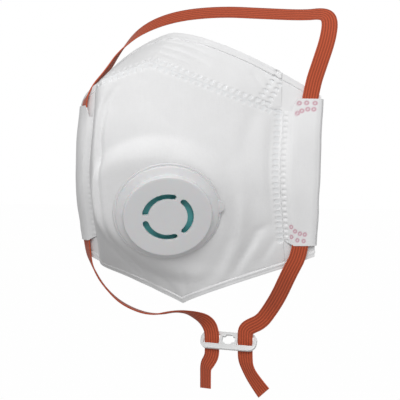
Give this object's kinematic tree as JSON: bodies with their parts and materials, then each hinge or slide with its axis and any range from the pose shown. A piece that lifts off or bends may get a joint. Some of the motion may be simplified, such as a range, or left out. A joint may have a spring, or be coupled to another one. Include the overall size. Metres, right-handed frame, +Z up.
{
  "type": "disposable dust mask",
  "caption": "Soft moulded-fabric dust mask with a round exhalation valve, elastic head straps and a sliding strap adjuster.",
  "frame": {"origin": "middle of the rim that seals on the wearer's face", "axes": "+X towards the wearer's left, -Y out of the mask away from the face, +Z up"},
  "size_m": [0.1421, 0.078, 0.2058],
  "materials": {
    "outer_fabric": "smooth white nonwoven, matt",
    "side_fabric": "white welded nonwoven laminate, matt",
    "filter_fabric": "white melt-blown fibre web",
    "liner_fabric": "soft white nonwoven",
    "nose_wire": "plain rolled strip",
    "nose_foam": "soft pale grey foam",
    "valve_plastic": "white moulded plastic, fine satin",
    "diaphragm_rubber": "teal silicone, smooth",
    "strap_elastic": "rust-orange ribbed elastic",
    "adjuster_plastic": "pale translucent white plastic"
  },
  "bodies": {
    "mask": {"front_cover": "outer_fabric", "front_filter": "filter_fabric", "front_liner": "liner_fabric", "top_cover": "outer_fabric", "top_filter": "filter_fabric", "top_liner": "liner_fabric", "left_side_panel": "side_fabric", "right_side_panel": "side_fabric", "left_tab": "side_fabric", "right_tab": "side_fabric", "nose_wire": "nose_wire", "nose_foam": "nose_foam", "valve_seat": "valve_plastic", "valve_ring": "valve_plastic", "valve_cover": "valve_plastic", "upper_strap": "strap_elastic", "lower_strap_left": "strap_elastic", "lower_strap_right": "strap_elastic"},
    "diaphragm": {"valve_diaphragm": "diaphragm_rubber"},
    "adjuster": {"strap_adjuster": "adjuster_plastic"}
  },
  "joints": [
    {"name": "diaphragm_lift", "type": "slide", "parent": "mask", "child": "diaphragm", "axis": [0.408, -0.8008, -0.4384], "range_m": [0, 0.001], "stiffness_N_per_m": 20, "springref_m": -0.002},
    {"name": "adjuster_slide", "type": "slide", "parent": "mask", "child": "adjuster", "axis": [0, 0, 1], "range_m": [-0.003, 0.002]}
  ]
}
